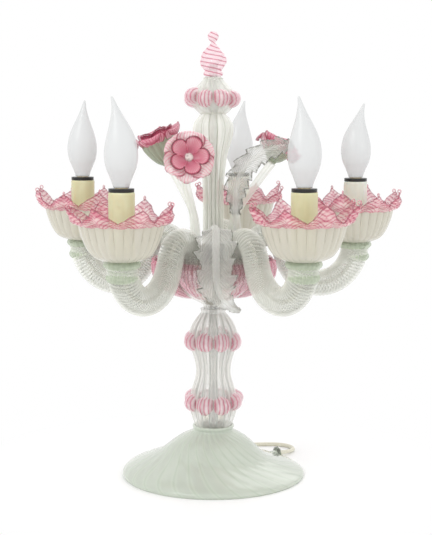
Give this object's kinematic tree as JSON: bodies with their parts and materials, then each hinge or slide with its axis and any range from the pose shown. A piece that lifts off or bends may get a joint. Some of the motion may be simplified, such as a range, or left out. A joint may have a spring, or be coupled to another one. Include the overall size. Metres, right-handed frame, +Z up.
{
  "type": "candelabrum table lamp",
  "caption": "Table lamp with curved glass arms, flower-shaped drip cups, candle sleeves and flame bulbs round a stem with glass flowers and leaves.",
  "frame": {"origin": "centre of the foot's ground rim, on the table, under the column's axis", "axes": "+Z up the column, -Y towards the viewer of the picture, +X to the viewer's right"},
  "size_m": [0.4401, 0.4595, 0.5065],
  "materials": {
    "opaline_glass": "milky grey-green, softly ribbed",
    "clear_glass": "clear, ribbed, bright",
    "arm_glass": "clear with rope-twist ribs",
    "pink_glass": "pink, folded and ribbed",
    "cup_glass": "white ribbed bowl with a pink folded rim",
    "flower_glass": "pink striped petals on a clear stalk",
    "leaf_glass": "clear, ribbed, serrated",
    "hub_metal": "dull grey plated",
    "rod_metal": "zinc plated, threaded",
    "holder_plastic": "black, moulded",
    "candle_plastic": "cream yellow, slightly waxy",
    "cap_metal": "dull screw cap",
    "bulb_glass": "frosted inside, smooth outside",
    "wire_insulation": "thin stranded leads",
    "lead_plastic": "pale cream flexible plastic"
  },
  "bodies": {
    "lamp": {"foot": "opaline_glass", "stem": "clear_glass", "bowl": "clear_glass", "column": "clear_glass", "top_knob": "clear_glass", "arm_collars": "clear_glass", "arm_1": "arm_glass", "arm_2": "arm_glass", "arm_3": "arm_glass", "arm_4": "arm_glass", "arm_5": "arm_glass", "lower_frill": "pink_glass", "upper_frill": "pink_glass", "top_frill": "pink_glass", "bowl_frill": "pink_glass", "finial": "pink_glass", "drip_cup_1": "cup_glass", "drip_cup_2": "cup_glass", "drip_cup_3": "cup_glass", "drip_cup_4": "cup_glass", "drip_cup_5": "cup_glass", "arm_receiver": "hub_metal", "arm_sockets": "hub_metal", "stem_sockets": "hub_metal", "stem_washer": "hub_metal", "foot_plate": "hub_metal", "central_rod": "rod_metal", "rod_nuts": "rod_metal", "holder_nipples": "rod_metal", "lampholder_1": "holder_plastic", "lampholder_2": "holder_plastic", "lampholder_3": "holder_plastic", "lampholder_4": "holder_plastic", "lampholder_5": "holder_plastic", "candle_sleeve_1": "candle_plastic", "candle_sleeve_2": "candle_plastic", "candle_sleeve_3": "candle_plastic", "candle_sleeve_4": "candle_plastic", "candle_sleeve_5": "candle_plastic", "wiring": "wire_insulation", "cord": "lead_plastic", "cord_tail": "lead_plastic", "cord_coil": "lead_plastic", "strain_relief": "lead_plastic", "plug": "lead_plastic"},
    "bulb_1": {"bulb_glass_1": "bulb_glass", "bulb_cap_1": "cap_metal"},
    "bulb_2": {"bulb_glass_2": "bulb_glass", "bulb_cap_2": "cap_metal"},
    "bulb_3": {"bulb_glass_3": "bulb_glass", "bulb_cap_3": "cap_metal"},
    "bulb_4": {"bulb_glass_4": "bulb_glass", "bulb_cap_4": "cap_metal"},
    "bulb_5": {"bulb_glass_5": "bulb_glass", "bulb_cap_5": "cap_metal"},
    "flower_front_piece": {"flower_front": "flower_glass"},
    "flower_left_piece": {"flower_left": "flower_glass"},
    "flower_right_piece": {"flower_right": "flower_glass"},
    "leaf_front_piece": {"leaf_front": "leaf_glass"},
    "leaf_right_piece": {"leaf_right": "leaf_glass"}
  },
  "joints": [
    {"name": "bulb_1_lift", "type": "slide", "parent": "lamp", "child": "bulb_1", "axis": [0, 0, 1], "range_m": [0, 0.028]},
    {"name": "bulb_2_lift", "type": "slide", "parent": "lamp", "child": "bulb_2", "axis": [0, 0, 1], "range_m": [0, 0.028]},
    {"name": "bulb_3_lift", "type": "slide", "parent": "lamp", "child": "bulb_3", "axis": [0, 0, 1], "range_m": [0, 0.028]},
    {"name": "bulb_4_lift", "type": "slide", "parent": "lamp", "child": "bulb_4", "axis": [0, 0, 1], "range_m": [0, 0.028]},
    {"name": "bulb_5_lift", "type": "slide", "parent": "lamp", "child": "bulb_5", "axis": [0, 0, 1], "range_m": [0, 0.028]},
    {"name": "flower_front_lift", "type": "slide", "parent": "lamp", "child": "flower_front_piece", "axis": [0, 0, 1], "range_m": [0, 0.016]},
    {"name": "flower_left_lift", "type": "slide", "parent": "lamp", "child": "flower_left_piece", "axis": [0, 0, 1], "range_m": [0, 0.016]},
    {"name": "flower_right_lift", "type": "slide", "parent": "lamp", "child": "flower_right_piece", "axis": [0, 0, 1], "range_m": [0, 0.016]},
    {"name": "leaf_front_lift", "type": "slide", "parent": "lamp", "child": "leaf_front_piece", "axis": [0, 0, 1], "range_m": [0, 0.016]},
    {"name": "leaf_right_lift", "type": "slide", "parent": "lamp", "child": "leaf_right_piece", "axis": [0, 0, 1], "range_m": [0, 0.016]}
  ]
}
